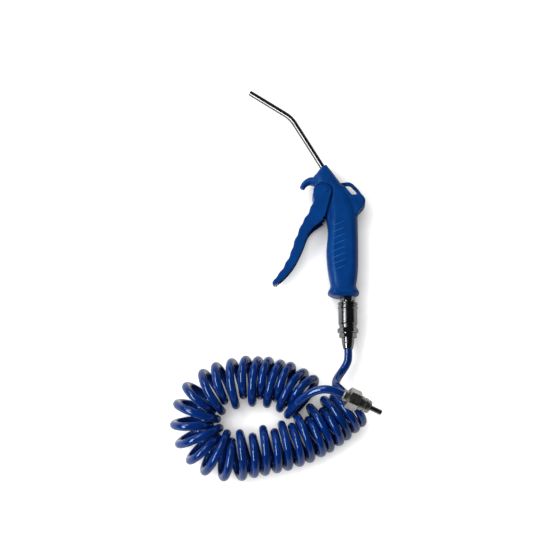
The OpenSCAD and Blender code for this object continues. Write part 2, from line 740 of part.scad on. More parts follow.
gun_body();
inlet_insert();
trigger_lever();
lever_pin();
stem_gland();
valve_stem();
stem_seal();
valve_poppet();
poppet_seal();
valve_spring();
valve_cap();
cap_seal();
nozzle_bush();
nozzle_seal();
nozzle_tube();
gun_plug();
gun_plug_seal();
coupler_body();
coupler_sleeve();
sleeve_spring();
locking_balls();
retaining_ring();
coupler_seal();
coupler_valve();
coupler_valve_spring();
coupler_end();
coupler_nut();
hose_tail_gun();
hose_coil();
hose_tail_plug();
tail_nut();
tail_adapter();
tail_washer();
tail_body();
plug_nipple();
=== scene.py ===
"""Looks of a coiled air hose with its quick coupler, lever blow gun and plug fitting.

Lengths are in metres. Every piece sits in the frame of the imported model.
"""
import math

import bmesh
import bpy
import numpy as np
from bpy.props import FloatProperty, FloatVectorProperty, IntProperty, PointerProperty
from mathutils import Matrix, Vector


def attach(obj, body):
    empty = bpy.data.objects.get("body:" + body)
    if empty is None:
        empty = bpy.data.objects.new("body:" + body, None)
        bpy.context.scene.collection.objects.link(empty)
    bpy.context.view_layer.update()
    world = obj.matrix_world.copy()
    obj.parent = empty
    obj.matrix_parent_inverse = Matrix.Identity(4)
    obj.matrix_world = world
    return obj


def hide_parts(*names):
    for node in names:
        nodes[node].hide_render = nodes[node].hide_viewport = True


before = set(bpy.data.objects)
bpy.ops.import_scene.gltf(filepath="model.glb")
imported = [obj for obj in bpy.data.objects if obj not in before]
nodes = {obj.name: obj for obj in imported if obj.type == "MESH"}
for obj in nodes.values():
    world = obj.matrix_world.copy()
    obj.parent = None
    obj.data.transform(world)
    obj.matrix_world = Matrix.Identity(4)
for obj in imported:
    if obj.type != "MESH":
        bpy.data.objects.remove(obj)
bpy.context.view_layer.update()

bl_info = {
    "name": "Coiled air hose kit",
    "version": (1, 0, 0),
    "blender": (4, 5, 0),
    "location": "View3D > Sidebar > Air hose",
    "description": "Builds the finish of a coiled air hose with its coupler, gun and fitting",
    "category": "Add Mesh",
}

MM = 0.001

# ---------------------------------------------------------------- blow gun's sizes
# Outlines and edges of the gun are in its own millimetres: x across the grip, y up it, z from its
# middle plane. Sizes with MM are in metres.

# Where the coupler's axis meets the foot of the grip
GUN_AT = Vector((42.9, -84.7, 15)) * MM
GRIP_THICKNESS = 28.6 * MM
# Slanted ribs: left and right ends across the grip, first height up it, rise and pitch
RIB_LEFT, RIB_RIGHT = -16.4 * MM, -1.4 * MM
RIB_FROM, RIB_RISE, RIB_STEP = 23 * MM, 6.4 * MM, 6.9 * MM
# Width of a rib, and how deep its root sits in the grip
RIB_WIDTH, RIB_ROOT = 1.4 * MM, 0.9 * MM
# Steps along a rib, faces round it, and the share of its size that its ends keep
RIB_STEPS, RIB_SIDES, RIB_END = 8, 10, 0.08
# Outline of the raised plate round the ball of the head, half its thickness and its edge's radius
HEAD_PLATE = ((-8, 118), (-2.6, 117), (5.4, 107.4), (10.6, 107.6), (13.5, 110), (18.9, 104.3),
              (19.8, 99.5), (17.8, 94.4), (13, 89), (11, 84), (4, 80), (-10, 90))
HEAD_PLATE_HALF, HEAD_PLATE_EDGE = 11.4, 3.0
# The same for the shoulder between the collar and the finger hook
SHOULDER = ((-22, 138.6), (-28.4, 135.8), (-32.4, 131.4), (-35.8, 127), (-33, 121.4), (-20, 121))
SHOULDER_HALF, SHOULDER_EDGE = 8.0, 2.5
# Degrees at which a plate's rounded edge is cut, from its flat face outwards
EDGE_TURNS = (90, 60, 30, 0)
# Foot of the grip: its middle across, then height up the grip, half width and half thickness
FOOT_MIDDLE = -4.3
FOOT = ((3, 15.8, 13.4), (0.6, 16.2, 13.6), (-1.0, 14.2, 12.8), (-2.2, 11.6, 11.6),
        (-2.8, 9.0, 10.4))
# How square the foot and the lever's edges are in section: 1 is round, 0 is a sharp box
FOOT_POWER, EDGE_POWER = 0.55, 0.5
# Finger hook: x, y and half its height, and how much wider across the gun it is than high
HOOK = ((-30, 123.4, 5.4), (-34.5, 124.2, 5.0), (-40, 124.2, 4.2), (-45, 121, 3.4),
        (-47.8, 116, 2.8))
HOOK_WIDTH = 1.5
# Heights between which the lever narrows towards its tip, and half its width at each
LEVER_TAPER, LEVER_HALF_WIDTHS = (53, 74), (7.5, 13.0)
# Front edge of the lever's web, the half thickness of the band on it and how far that stands out
LEVER_FRONT = ((-35.6, 108), (-34.9, 100), (-41.2, 84.8), (-46.7, 75.8), (-55.2, 55.8),
               (-60, 41.4), (-68.8, 25.2), (-77.4, 14.2))
LEVER_BAND, LEVER_BAND_OUT = 1.4, 1.1
# The shallow finger waves of that band
WAVE_LENGTH, WAVE_HEIGHT = 13.0, 0.5
# Back edge of the lever's two cheeks, and the size of the rim that runs along it
LEVER_BACK = ((-24.6, 79.4), (-30.6, 75), (-36.4, 70.3), (-41.7, 62.8), (-47.2, 48),
              (-55.9, 30.5), (-66.6, 17.3), (-75.4, 10.2))
CHEEK_DEPTH, CHEEK_THICK = 4.6, 2.6
# Round end of the lever: its middle and its radius, the least radius of its rings, and their turns
LEVER_TIP, LEVER_TIP_R, LEVER_TIP_LEAST = (-77.0, 12.2), 2.5, 0.2
LEVER_TIP_RINGS, LEVER_TIP_STEP = range(-4, 5), 22.5
# Points round each form's section, and steps of its curve between two given points
PLATE_STEPS = 4
FOOT_SIDES = 40
HOOK_SIDES, HOOK_STEPS = 20, 4
BAND_SIDES, BAND_STEPS = 32, 8
CHEEK_SIDES, CHEEK_STEPS = 16, 6
LEVER_TIP_SIDES = 20
# How often and how far the moulded pieces' edges are smoothed
SMOOTH_ROUNDS, SMOOTH_FACTOR = 3, 0.5

# ---------------------------------------------------------------- hose's route

# Distances down the coupler's axis: the open face of its nut, and the hose's end on the barb
COUPLER_NUT_FACE, HOSE_START = 58 * MM, 51 * MM
# Axis of the plug fitting, from the hose's other end towards the nipple
FITTING_FROM = Vector((34, -196, 63.2)) * MM
FITTING_TO = Vector((73.6, -213.2, 52)) * MM
FITTING_WAY = (FITTING_TO - FITTING_FROM).normalized()
# Start of the coil's bent centre line in millimetres and degrees: x, y and heading
COIL_START = (6.6, -207.9, 116)
# Runs of that line: turns, length, bend, lean of the turns, nesting
COIL_RUNS = ((4, 40.6, 44.5, 0.09, 5.1), (4, 39.6, 22, 0.08, 3.7), (3, 38.2, 27, 0.08, 4.5),
             (4, 55.2, 85.5, 0.1, 3.6), (4, 51.9, 77, 0.09, 4.3), (3, 36, -0.5, 0.08, 2.8),
             (4, 42.3, 17, 0.07, 2.7), (4, 38.3, 13.5, 0.08, 5.9), (2, 19.2, -1, 0.08, 0.4))
# The hose leaves the coil at these counts of turns
COIL_FROM, COIL_TO = 1.375, 31.375
POINTS_PER_TURN = 48
# Routes of the two free stretches, in millimetres, after a straight lead out of the coil
LEAD = 5 * MM
GUN_ROUTE = ((29.4, -179.2, 24), (31.2, -174, 19), (34.4, -168.8, 15.2), (38, -163.4, 13),
             (41.4, -157.6, 13.8))
PLUG_ROUTE = ((-4, -197.8, 53), (2.2, -194.2, 57.6), (9.6, -191.6, 61.4), (17.6, -191, 64.2))
STEPS_PER_POINT = 8

# ---------------------------------------------------------------- stage's places

# Camera: its place, its sensor's width in millimetres, and the nearest and furthest that it sees
CAMERA_AT = (-0.0284, -0.3547, 1.3611)
SENSOR_WIDTH = 36
CLIP_FROM, CLIP_TO = 0.05, 20
# Lamps: name, place, aim, width and length in metres, power in watts
LAMPS = (("key", (-1.05, -0.42, 1.10), (-0.03, -0.18, 0), 0.40, 1.20, 20),
         ("left", (-0.70, 0.55, 1.20), (0, 0, 0), 0.35, 1.0, 3.5),
         ("back_left", (-0.80, 0.90, 1.0), (0, -0.05, 0), 0.8, 0.8, 5))
# Half the floor's side
FLOOR_HALF = 4.0
# How near a piece the floor's glow is dimmed as painted shade, and how fast the glow falls off beside
# it
CONTACT_REACH, CONTACT_FALL = 20 * MM, 1.5
# Heights, as sines, between which the mirrored world darkens, and its strength below and above them
CEILING = {"From Min": 0.10, "From Max": 0.32, "To Min": 1.0, "To Max": 0.03}
WHITE, LIGHT_GREY = (1, 1, 1, 1), (0.8, 0.8, 0.8, 1)

# ---------------------------------------------------------------- settings


class HoseSettings(bpy.types.PropertyGroup):
    diameter: FloatProperty(name="Hose diameter", description="Outside diameter of the hose",
                            default=0.0085, unit="LENGTH")
    coil: FloatProperty(name="Coil diameter", description="Outside diameter of one turn",
                        default=0.049, unit="LENGTH")
    sides: IntProperty(name="Sides", description="Faces round the hose", default=24, min=12)
    colour: FloatVectorProperty(name="Colour", description="Colour of the polyurethane",
                                subtype="COLOR", size=3, default=(0.001, 0.022, 0.160))


class GunSettings(bpy.types.PropertyGroup):
    voxel: FloatProperty(name="Softness", description="Size that the moulded edges are rounded to",
                         default=0.0005, unit="LENGTH")
    rib_count: IntProperty(name="Ribs", description="Slanted ribs on each side of the grip",
                           default=8, min=0, max=9)
    rib_height: FloatProperty(name="Rib height", description="Height of the grip's ribs",
                              default=0.0007, unit="LENGTH")
    colour: FloatVectorProperty(name="Colour", description="Colour of the moulded plastic",
                                subtype="COLOR", size=3, default=(0.001, 0.041, 0.205))
    # The ribs are coloured a paler blue than the grip as a painted highlight along their crests.
    rib_highlight_colour: FloatVectorProperty(name="Rib colour", description="Colour of the highlight_painted ribs",
                                    subtype="COLOR", size=3, default=(0.012, 0.115, 0.390))


class MetalSettings(bpy.types.PropertyGroup):
    # One nickel plating in two copies: darkened on the coupler and nozzle as painted shade in their
    # reflections, and lighter on the plug fitting as a painted highlight.
    nickel: FloatVectorProperty(name="Nickel", description="Colour of the plated coupler and nozzle",
                                subtype="COLOR", size=3, default=(0.18, 0.185, 0.19))
    bright: FloatVectorProperty(name="Nickel painted lighter", description="Colour of the plug fitting's plate",
                                subtype="COLOR", size=3, default=(0.36, 0.36, 0.34))
    steel: FloatVectorProperty(name="Steel", description="Colour of the bare steel",
                               subtype="COLOR", size=3, default=(0.20, 0.19, 0.18))
    brass: FloatVectorProperty(name="Brass", description="Colour of the brass",
                               subtype="COLOR", size=3, default=(0.55, 0.38, 0.13))


class StageSettings(bpy.types.PropertyGroup):
    lens: FloatProperty(name="Lens", description="Focal length of the camera, in millimetres",
                        default=83.57)
    tilt: FloatProperty(name="Tilt", description="Tilt of the camera off straight down",
                        default=math.radians(12), subtype="ANGLE")
    floor: FloatVectorProperty(name="Floor", description="Colour of the floor",
                               subtype="COLOR", size=3, default=(0.72, 0.72, 0.72))
    floor_glow: FloatProperty(name="Floor glow", default=0.88, min=0, max=1,
                              description="How much whiter the floor looks than it lights")
    ambient: FloatProperty(name="Ambient", default=0.30, min=0, max=1,
                           description="Strength of the even light from all around")


# ---------------------------------------------------------------- mesh helpers


def add_mesh(name, points, faces, smooth=True):
    """A new object of those points, in metres, and faces."""
    mesh = bpy.data.meshes.new(name)
    mesh.from_pydata([tuple(p) for p in points], [], faces)
    mesh.update()
    obj = bpy.data.objects.new(name, mesh)
    bpy.context.scene.collection.objects.link(obj)
    if smooth:
        mesh.polygons.foreach_set("use_smooth", [True] * len(mesh.polygons))
    return obj


def skin(rings):
    """Points and faces of a closed solid through rings that all have the same number of points."""
    count, around = len(rings), len(rings[0])
    points = [p for one in rings for p in one]
    faces = []
    for i in range(count - 1):
        for k in range(around):
            a, b = i * around + k, i * around + (k + 1) % around
            faces.append((a, b, b + around, a + around))
    faces.append(tuple(range(around - 1, -1, -1)))
    faces.append(tuple((count - 1) * around + k for k in range(around)))
    return points, faces


def joined(solids):
    """Points and faces of several solids as one."""
    points, faces = [], []
    for more_points, more_faces in solids:
        first = len(points)
        points += more_points
        faces += [tuple(i + first for i in f) for f in more_faces]
    return points, faces


def angles_round(count):
    """The angles of that many points spread evenly round a circle."""
    return np.arange(count) * 2 * math.pi / count


def unit(v):
    """The same direction with length 1."""
    return v / np.linalg.norm(v)


def curve_through(points, steps):
    """A smooth curve through the points, the same rule as the model's own source."""
    p = [np.array(q, float) for q in points]
    out = []
    for i in range(len(p) - 1):
        a, b, c, d = p[max(i - 1, 0)], p[i], p[i + 1], p[min(i + 2, len(p) - 1)]
        for k in range(steps):
            t = k / steps
            out.append(0.5 * (2 * b + (c - a) * t + (2 * a - 5 * b + 4 * c - d) * t ** 2
                              + (3 * b - a - 3 * c + d) * t ** 3))
    out.append(p[-1])
    return out


def tube_rings(path, radius, sides):
    """Rings square to the path that don't twist along it. The path doesn't start upright."""
    path = np.array(path, float)
    along = np.gradient(path, axis=0)
    along /= np.linalg.norm(along, axis=1)[:, None]
    side = unit(np.cross(along[0], (0.0, 0.0, 1.0)))
    rings = []
    for centre, way in zip(path, along):
        side = side - way * side.dot(way)
        side /= np.linalg.norm(side)
        other = np.cross(way, side)
        rings.append([centre + radius * (math.cos(w) * side + math.sin(w) * other)
                      for w in angles_round(sides)])
    return rings


def applied(obj):
    """The object's mesh with its modifiers applied."""
    bpy.context.view_layer.update()
    graph = bpy.context.evaluated_depsgraph_get()
    mesh = bpy.data.meshes.new_from_object(obj.evaluated_get(graph), depsgraph=graph)
    old = obj.data
    obj.modifiers.clear()
    obj.data = mesh
    bpy.data.meshes.remove(old)
    return obj


def soft_copy(node, name, voxel, extras):
    """A copy of a moulded node, joined with the extras and with its edges rounded off."""
    bm = bmesh.new()
    bm.from_mesh(nodes[node].data)
    for points, faces in extras:
        verts = [bm.verts.new(tuple(p)) for p in points]
        for f in faces:
            bm.faces.new([verts[i] for i in f])
    bmesh.ops.recalc_face_normals(bm, faces=bm.faces)
    mesh = bpy.data.meshes.new(name)
    bm.to_mesh(mesh)
    bm.free()
    obj = bpy.data.objects.new(name, mesh)
    bpy.context.scene.collection.objects.link(obj)
    remesh = obj.modifiers.new("remesh", "REMESH")
    remesh.mode = "VOXEL"
    remesh.voxel_size = voxel
    remesh.use_smooth_shade = True
    relax = obj.modifiers.new("relax", "SMOOTH")
    relax.factor = SMOOTH_FACTOR
    relax.iterations = SMOOTH_ROUNDS
    return applied(obj)


# ---------------------------------------------------------------- material helpers


class Finish:
    """A node material built step by step round one Principled shader."""

    def __init__(self, name, colour, roughness, metallic=0.0):
        self.material = bpy.data.materials.new(name)
        self.material.use_nodes = True
        self.tree = self.material.node_tree
        self.shader = self.tree.nodes["Principled BSDF"]
        self.shader.inputs["Base Color"].default_value = (*colour, 1)
        self.shader.inputs["Roughness"].default_value = roughness
        self.shader.inputs["Metallic"].default_value = metallic
        self.place = self.tree.nodes.new("ShaderNodeTexCoord").outputs["Object"]
        self.height = None

    def link(self, a, b):
        self.tree.links.new(a, b)

    def add(self, kind, settings):
        """A new node with the named inputs set."""
        node = self.tree.nodes.new(kind)
        set_inputs(node, settings)
        return node

    def noise(self, scale, detail, stretch=None):
        """Noise of that many waves a metre, longer where stretch is small."""
        node = self.add("ShaderNodeTexNoise", {"Scale": scale, "Detail": detail})
        place = self.place
        if stretch is not None:
            mapping = self.add("ShaderNodeMapping", {"Scale": stretch})
            self.link(place, mapping.inputs["Vector"])
            place = mapping.outputs["Vector"]
        self.link(place, node.inputs["Vector"])
        return node.outputs["Fac"]

    def spread(self, value, low, high):
        """Noise, whose middle runs from 0.3 to 0.7, spread from low to high."""
        node = self.add("ShaderNodeMapRange", {"From Min": 0.3, "From Max": 0.7,
                                               "To Min": low, "To Max": high})
        self.link(value, node.inputs["Value"])
        return node.outputs["Result"]

    def vary_colour(self, value, first, second):
        """The base colour between two factors of the colour it was made with."""
        colour = tuple(self.shader.inputs["Base Color"].default_value)[:3]
        node = self.tree.nodes.new("ShaderNodeMix")
        node.data_type = "RGBA"
        set_inputs(node, {"A": shade(colour, first), "B": shade(colour, second)})
        self.link(self.spread(value, 0, 1), node.inputs["Factor"])
        self.link(node.outputs["Result"], self.shader.inputs["Base Color"])

    def vary_roughness(self, value, low, high):
        self.link(self.spread(value, low, high), self.shader.inputs["Roughness"])

    def bump(self, value, strength, distance):
        """Relief of that height in metres, on top of any added before."""
        node = self.add("ShaderNodeBump", {"Strength": strength, "Distance": distance})
        self.link(value, node.inputs["Height"])
        if self.height is not None:
            self.link(self.height, node.inputs["Normal"])
        self.height = node.outputs["Normal"]
        self.link(self.height, self.shader.inputs["Normal"])

    def gloss(self, level, tint):
        """How strongly the surface reflects, and the colour that it gives to that."""
        set_inputs(self.shader, {"Specular IOR Level": level, "Specular Tint": (*tint, 1)})


def set_inputs(node, settings):
    """Sets the node's inputs by name."""
    for name, value in settings.items():
        node.inputs[name].default_value = value


def shade(colour, factor):
    """The colour made darker or lighter, as a socket takes it."""
    return (*(min(1.0, c * factor) for c in colour), 1)


def moulded_plastic(name, colour):
    """Satin plastic with a fine grain on slow, soft waves."""
    f = Finish(name, colour, 0.34)
    f.vary_colour(f.noise(90, 4), 0.88, 1.10)
    f.vary_roughness(f.noise(260, 5), 0.28, 0.42)
    f.bump(f.noise(2600, 4), 0.15, 0.05 * MM)
    f.bump(f.noise(160, 2), 0.20, 0.10 * MM)
    f.gloss(0.20, (0.40, 0.72, 1.0))
    return f.material


def polyurethane(name, colour):
    """Glossy hose, hardly uneven."""
    f = Finish(name, colour, 0.08)
    f.vary_colour(f.noise(60, 3), 0.78, 1.18)
    f.vary_roughness(f.noise(220, 4), 0.05, 0.09)
    f.bump(f.noise(420, 3), 0.15, 0.06 * MM)
    f.gloss(0.62, (0.60, 0.82, 1.0))
    return f.material


def turned_metal(name, colour, rough, stretch):
    """Plated metal with the fine rings of a lathe round the axis that stretch runs along."""
    f = Finish(name, colour, rough, 1.0)
    f.vary_colour(f.noise(70, 4), 0.86, 1.05)
    f.vary_roughness(f.noise(300, 5), rough * 0.75, rough * 1.5)
    f.bump(f.noise(900, 2, stretch), 0.12, 0.05 * MM)
    return f.material


def black_rubber(name):
    """Matt seal rubber."""
    f = Finish(name, (0.015, 0.015, 0.016), 0.6)
    f.vary_roughness(f.noise(300, 4), 0.5, 0.7)
    f.bump(f.noise(1500, 4), 0.2, 0.06 * MM)
    return f.material


# The finishes made so far, by name
made = {}


def finish_named(key):
    """The finish of that name, made when it is first asked for."""
    if key not in made:
        scene = bpy.context.scene
        gun, metal = scene.kit_gun, scene.kit_metal
        along_y, along_x = (0.02, 1, 0.02), (1, 0.02, 0.02)
        makers = {
            "gun": lambda: moulded_plastic("gun_plastic", tuple(gun.colour)),
            "ribs": lambda: moulded_plastic("rubbed_ribs", tuple(gun.rib_highlight_colour)),
            "hose": lambda: polyurethane("hose_polyurethane", tuple(scene.kit_hose.colour)),
            "nickel": lambda: turned_metal("nickel_shade_painted", tuple(metal.nickel), 0.16, along_y),
            "bright": lambda: turned_metal("bright_plate", tuple(metal.bright), 0.30, along_x),
            "steel": lambda: turned_metal("bare_steel", tuple(metal.steel), 0.26, along_x),
            "brass": lambda: turned_metal("turned_brass", tuple(metal.brass), 0.24, along_y),
            "rubber": lambda: black_rubber("seal_rubber"),
        }
        made[key] = makers[key]()
    return made[key]


def dress(obj, key):
    """Gives a new piece one finish."""
    obj.data.materials.clear()
    obj.data.materials.append(finish_named(key))
    return obj


def dress_node(node, key):
    """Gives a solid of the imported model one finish."""
    obj = nodes[node]
    for slot in obj.material_slots:
        slot.material = finish_named(key)
    if not obj.material_slots:
        obj.data.materials.append(finish_named(key))


# ---------------------------------------------------------------- stage


def area_light(name, place, target, size, length, power):
    """A lamp whose length runs as nearly along the coil's front row, +Y, as its aim allows."""
    light = bpy.data.lights.new(name, "AREA")
    light.shape = "RECTANGLE"
    light.size, light.size_y, light.energy = size, length, power
    obj = bpy.data.objects.new(name, light)
    obj.location = place
    back = (Vector(place) - Vector(target)).normalized()
    across = Vector((0, 1, 0)).cross(back).normalized()
    obj.rotation_euler = Matrix((across, back.cross(across), back)).transposed().to_euler()
    bpy.context.scene.collection.objects.link(obj)


def math_node(tree, operation, first, second):
    """A Math node of two inputs, where the second may be a plain number."""
    node = tree.nodes.new("ShaderNodeMath")
    node.operation = operation
    tree.links.new(first, node.inputs[0])
    if isinstance(second, (int, float)):
        node.inputs[1].default_value = second
    else:
        tree.links.new(second, node.inputs[1])
    return node.outputs[0]


def any_ray(tree, *kinds):
    """1 for the kinds of ray that are named, 0 for the others."""
    rays = tree.nodes.new("ShaderNodeLightPath")
    total = rays.outputs[kinds[0]]
    for kind in kinds[1:]:
        total = math_node(tree, "MAXIMUM", total, rays.outputs[kind])
    return total


def seen_ray(tree):
    """1 where the camera sees the surface, also through glass."""
    return any_ray(tree, "Is Camera Ray", "Is Transmission Ray")


def mirrored_ray(tree):
    """1 where a glossy surface mirrors it."""
    return any_ray(tree, "Is Glossy Ray")


def mixed_shaders(tree, factor, first, second):
    """The first shader where the factor is 0, the second where it is 1."""
    node = tree.nodes.new("ShaderNodeMixShader")
    tree.links.new(factor, node.inputs["Fac"])
    tree.links.new(first.outputs[0], node.inputs[1])
    tree.links.new(second.outputs[0], node.inputs[2])
    return node


class KIT_OT_stage(bpy.types.Operator):
    """Adds the camera, the lamps, the world and the pale floor"""
    bl_idname = "kit.stage"
    bl_label = "Stage"

    def execute(self, context):
        scene = context.scene
        settings = scene.kit_stage
        camera = bpy.data.cameras.new("camera")
        camera.lens, camera.sensor_width = settings.lens, SENSOR_WIDTH
        camera.clip_start, camera.clip_end = CLIP_FROM, CLIP_TO
        obj = bpy.data.objects.new("camera", camera)
        obj.location = CAMERA_AT
        obj.rotation_euler = (settings.tilt, 0, 0)
        scene.collection.objects.link(obj)
        scene.camera = obj
        scene.view_settings.view_transform = "Standard"

        self.floor(tuple(settings.floor), settings.floor_glow)
        for lamp in LAMPS:
            area_light(*lamp)
        self.world(scene, settings.ambient)
        return {"FINISHED"}

    def floor(self, colour, glow):
        """A pale floor that looks white where no shadow falls.

        It glows for the camera, and in mirrors just enough to count as white.
        """
        half = FLOOR_HALF
        corners = [(-half, -half, 0), (half, -half, 0), (half, half, 0), (-half, half, 0)]
        floor = add_mesh("floor", corners, [(0, 1, 2, 3)], smooth=False)
        f = Finish("floor_paint", colour, 0.8)
        f.vary_roughness(f.noise(40, 2), 0.75, 0.85)
        set_inputs(f.shader, {"Specular IOR Level": 0, "Emission Color": WHITE})
        # The glow is dimmed by occlusion, a painted shade between the turns and beside every piece.
        open_sky = f.add("ShaderNodeAmbientOcclusion", {"Distance": CONTACT_REACH})
        near_white = math_node(f.tree, "POWER", open_sky.outputs["AO"], CONTACT_FALL)
        direct = math_node(f.tree, "MULTIPLY", seen_ray(f.tree), glow)
        mirrored = math_node(f.tree, "MULTIPLY", mirrored_ray(f.tree), 1 - colour[0])
        strength = math_node(f.tree, "MULTIPLY", near_white,
                             math_node(f.tree, "MAXIMUM", direct, mirrored))
        f.link(strength, f.shader.inputs["Emission Strength"])
        floor.data.materials.append(f.material)

    def world(self, scene, ambient):
        """Even light, and in mirrors a white backdrop near the horizon under a dark ceiling."""
        world = bpy.data.worlds.new("studio")
        scene.world = world
        world.use_nodes = True
        tree = world.node_tree
        even = tree.nodes["Background"]
        set_inputs(even, {"Color": WHITE, "Strength": ambient})
        white = tree.nodes.new("ShaderNodeBackground")
        set_inputs(white, {"Color": WHITE, "Strength": 1})
        ceiling = tree.nodes.new("ShaderNodeBackground")
        set_inputs(ceiling, {"Color": LIGHT_GREY})
        place = tree.nodes.new("ShaderNodeTexCoord")
        split = tree.nodes.new("ShaderNodeSeparateXYZ")
        darker = tree.nodes.new("ShaderNodeMapRange")
        darker.interpolation_type = "SMOOTHSTEP"
        set_inputs(darker, CEILING)
        tree.links.new(place.outputs["Generated"], split.inputs[0])
        tree.links.new(split.outputs["Z"], darker.inputs["Value"])
        tree.links.new(darker.outputs["Result"], ceiling.inputs["Strength"])
        plain = mixed_shaders(tree, seen_ray(tree), even, white)
        whole = mixed_shaders(tree, mirrored_ray(tree), plain, ceiling)
        tree.links.new(whole.outputs[0], tree.nodes["World Output"].inputs["Surface"])


# ---------------------------------------------------------------- hose


def arc(place, length, bend):
    """The place, x, y and heading, at the end of an arc of that length and bend."""
    x, y, heading = place
    turn = math.radians(bend)
    chord = length if bend == 0 else 2 * length / turn * math.sin(turn / 2)
    middle = math.radians(heading + bend / 2)
    return (x + chord * math.cos(middle), y + chord * math.sin(middle), heading + bend)


def coil_points(diameter, coil):
    """The hose's centre through every turn, in metres."""
    hose_r = diameter / 2 / MM
    turn_r = coil / 2 / MM - hose_r
    starts, counts = [COIL_START], [0]
    for turns, length, bend, _, _ in COIL_RUNS:
        starts.append(arc(starts[-1], length, bend))
        counts.append(counts[-1] + turns)
    middles = [(a + b) / 2 for a, b in zip(counts, counts[1:])]
    leans, nests = [r[3] for r in COIL_RUNS], [r[4] for r in COIL_RUNS]
    steps = round((COIL_TO - COIL_FROM) * POINTS_PER_TURN)
    points = []
    for k in range(steps + 1):
        u = COIL_FROM + k / POINTS_PER_TURN
        i = max(j for j in range(len(COIL_RUNS)) if u >= counts[j])
        part = (u - counts[i]) / COIL_RUNS[i][0]
        x, y, heading = arc(starts[i], part * COIL_RUNS[i][1], part * COIL_RUNS[i][2])
        h, w = math.radians(heading), 2 * math.pi * u
        out = turn_r * math.cos(w) + np.interp(u, middles, nests) * math.sin(math.pi * u)
        slip = np.interp(u, middles, leans) * turn_r * math.sin(w)
        points.append(np.array((x + out * math.sin(h) + slip * math.cos(h),
                                y - out * math.cos(h) + slip * math.sin(h),
                                turn_r + hose_r + turn_r * math.sin(w))) * MM)
    return points


def hose_path(diameter, coil):
    """From the coupler along the floor, through the coil and over to the plug fitting."""
    turns = coil_points(diameter, coil)
    inlet, fitting, way = np.array(GUN_AT), np.array(FITTING_FROM), np.array(FITTING_WAY)

    def lead(end, before):
        """Two points straight on from the coil's end."""
        on = unit(end - before)
        return [end + diameter * on, end + (diameter + LEAD) * on]

    gun_side = [*lead(turns[-1], turns[-2]), *(np.array(p) * MM for p in GUN_ROUTE),
                inlet - (0, COUPLER_NUT_FACE + diameter, 0), inlet - (0, HOSE_START, 0)]
    plug_side = [*lead(turns[0], turns[1]), *(np.array(p) * MM for p in PLUG_ROUTE),
                 fitting - diameter * way, fitting]
    first = curve_through(gun_side, STEPS_PER_POINT)[::-1]
    last = curve_through(plug_side, STEPS_PER_POINT)
    return first + turns[::-1] + last


class KIT_OT_hose(bpy.types.Operator):
    """Adds the whole hose, from the coupler through the coil to the plug fitting"""
    bl_idname = "kit.hose"
    bl_label = "Hose"

    def execute(self, context):
        settings = context.scene.kit_hose
        path = hose_path(settings.diameter, settings.coil)
        points, faces = skin(tube_rings(path, settings.diameter / 2, settings.sides))
        hose = dress(add_mesh("air_hose", points, faces), "hose")
        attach(hose, "hose")
        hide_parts("hose_tail_gun", "hose_coil", "hose_tail_plug")
        return {"FINISHED"}


# ---------------------------------------------------------------- blow gun


def bar(start, end, width, height):
    """A bar with round ends and a round top, lying along start to end."""
    start, end = np.array(start, float), np.array(end, float)
    way = unit(end - start)
    across = unit(np.cross(way, (0, 0, 1)))
    up = np.cross(across, way)
    length = np.linalg.norm(end - start)
    rings = []
    for k in range(RIB_STEPS + 1):
        t = -math.cos(math.pi * k / RIB_STEPS)
        size = max(RIB_END, math.sqrt(max(0.0, 1 - t ** 4)))
        centre = start + way * length * (t + 1) / 2
        rings.append([centre + size * (width / 2 * math.cos(w) * across + height * math.sin(w) * up)
                      for w in angles_round(RIB_SIDES)])
    return skin(rings)


def grip_ribs(count, height):
    """The slanted ribs on both flat sides of the grip."""
    bars = []
    for side in (-1, 1):
        level = GUN_AT.z + side * (GRIP_THICKNESS / 2 - RIB_ROOT)
        for k in range(count):
            low = RIB_FROM + k * RIB_STEP
            start = (GUN_AT.x + RIB_LEFT, GUN_AT.y + low, level)
            end = (GUN_AT.x + RIB_RIGHT, GUN_AT.y + low + RIB_RISE, level)
            bars.append(bar(start, end, RIB_WIDTH, height + RIB_ROOT))
    return bars


def in_gun(x, y, z):
    """A place given in the gun's own millimetres."""
    return GUN_AT + Vector((x, y, z)) * MM


def section(count, power):
    """Pairs from -1 to 1 round a section that is round at power 1 and a box at power 0."""
    pairs = []
    for w in angles_round(count):
        c, d = math.cos(w), math.sin(w)
        pairs.append((math.copysign(abs(c) ** power, c), math.copysign(abs(d) ** power, d)))
    return pairs


def edge_curve(points, steps):
    """A smooth curve in the gun's middle plane, and its direction at each of its points."""
    line = np.array([p[:2] for p in curve_through([(x, y, 0) for x, y in points], steps)])
    ways = np.gradient(line, axis=0)
    return line, ways / np.linalg.norm(ways, axis=1)[:, None]


def ring_beside(at, way, offsets):
    """A ring square to that direction, from how far each point lies to its right and how high."""
    return [in_gun(at[0] + way[1] * right, at[1] - way[0] * right, level)
            for right, level in offsets]


def plate(outline, half, edge):
    """A flat plate of that outline, even about the gun's middle plane, with rounded edges."""
    line = edge_curve(outline + outline[:1], PLATE_STEPS)[0][:-1]
    middle = line.mean(axis=0)
    size = np.linalg.norm(line - middle, axis=1).mean()
    rings = []
    for side in (-1, 1):
        for turn in EDGE_TURNS[::-side]:
            level = side * (half - edge * (1 - math.sin(math.radians(turn))))
            inset = edge * (1 - math.cos(math.radians(turn)))
            inner = middle + (line - middle) * (1 - inset / size)
            rings.append([in_gun(x, y, level) for x, y in inner])
    return skin(rings)


def grip_foot():
    """The flared foot of the grip, drawn in towards its end."""
    around = section(FOOT_SIDES, FOOT_POWER)
    return skin([[in_gun(FOOT_MIDDLE + wide * c, up, thick * d) for c, d in around]
                 for up, wide, thick in FOOT])


def lever_half_width(y):
    """Half the lever's width at that height: full at its top and narrower towards the tip."""
    return float(np.interp(y, LEVER_TAPER, LEVER_HALF_WIDTHS))


